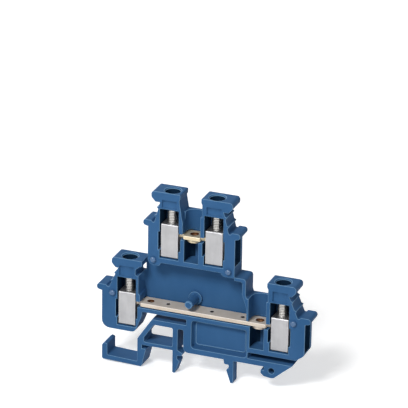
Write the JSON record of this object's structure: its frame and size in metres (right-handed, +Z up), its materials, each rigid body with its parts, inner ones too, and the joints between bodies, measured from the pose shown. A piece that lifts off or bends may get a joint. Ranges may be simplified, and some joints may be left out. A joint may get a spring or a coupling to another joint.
{
  "type": "double level terminal block",
  "caption": "Slim double level screw terminal block for a top-hat rail: an open moulded housing with a current bar and lifting clamps on each level.",
  "frame": {"origin": "on the rail seat (the underside of the housing's bottom rib, where it stands on the rail's lips), above the middle of the 35 mm rail and in the middle of the block's thickness", "axes": "+X along the block, across the rail, towards the fixed claw; +Y along the rail, from the open side to the closed back wall; +Z up, away from the rail"},
  "size_m": [0.0642, 0.007, 0.0548],
  "materials": {
    "blue_plastic": "satin moulded polyamide, blue",
    "bar_metal": "tin plated copper alloy",
    "cage_metal": "satin zinc or nickel plate",
    "screw_metal": "bright plate"
  },
  "bodies": {
    "block": {"housing": "blue_plastic", "bar_upper": "bar_metal", "bar_lower": "bar_metal"},
    "screw_ul": {"screw_upper_left": "screw_metal"},
    "screw_ur": {"screw_upper_right": "screw_metal"},
    "screw_ll": {"screw_lower_left": "screw_metal"},
    "screw_lr": {"screw_lower_right": "screw_metal"},
    "cage_ul": {"cage_upper_left": "cage_metal"},
    "cage_ur": {"cage_upper_right": "cage_metal"},
    "cage_ll": {"cage_lower_left": "cage_metal"},
    "cage_lr": {"cage_lower_right": "cage_metal"}
  },
  "joints": [
    {"name": "tighten_upper_left", "type": "hinge", "parent": "block", "child": "screw_ul", "pos_m": [-0.01135, -0.00038, 0.0429], "axis": [0, 0, -1], "range_deg": [0, 3025]},
    {"name": "tighten_upper_right", "type": "hinge", "parent": "block", "child": "screw_ur", "pos_m": [0.00195, -0.00038, 0.0429], "axis": [0, 0, -1], "range_deg": [0, 3025]},
    {"name": "tighten_lower_left", "type": "hinge", "parent": "block", "child": "screw_ll", "pos_m": [-0.02405, -0.00038, 0.02], "axis": [0, 0, -1], "range_deg": [0, 3025]},
    {"name": "tighten_lower_right", "type": "hinge", "parent": "block", "child": "screw_lr", "pos_m": [0.02195, -0.00038, 0.02], "axis": [0, 0, -1], "range_deg": [0, 3025]},
    {"name": "lift_upper_left", "type": "slide", "parent": "block", "child": "cage_ul", "axis": [0, 0, 1], "range_m": [0, 0.0042]},
    {"name": "lift_upper_right", "type": "slide", "parent": "block", "child": "cage_ur", "axis": [0, 0, 1], "range_m": [0, 0.0042]},
    {"name": "lift_lower_left", "type": "slide", "parent": "block", "child": "cage_ll", "axis": [0, 0, 1], "range_m": [0, 0.0042]},
    {"name": "lift_lower_right", "type": "slide", "parent": "block", "child": "cage_lr", "axis": [0, 0, 1], "range_m": [0, 0.0042]}
  ],
  "couplings": [
    {"joint": "tighten_upper_left", "follows": "lift_upper_left", "rad_per_m": 12566},
    {"joint": "tighten_upper_right", "follows": "lift_upper_right", "rad_per_m": 12566},
    {"joint": "tighten_lower_left", "follows": "lift_lower_left", "rad_per_m": 12566},
    {"joint": "tighten_lower_right", "follows": "lift_lower_right", "rad_per_m": 12566}
  ]
}
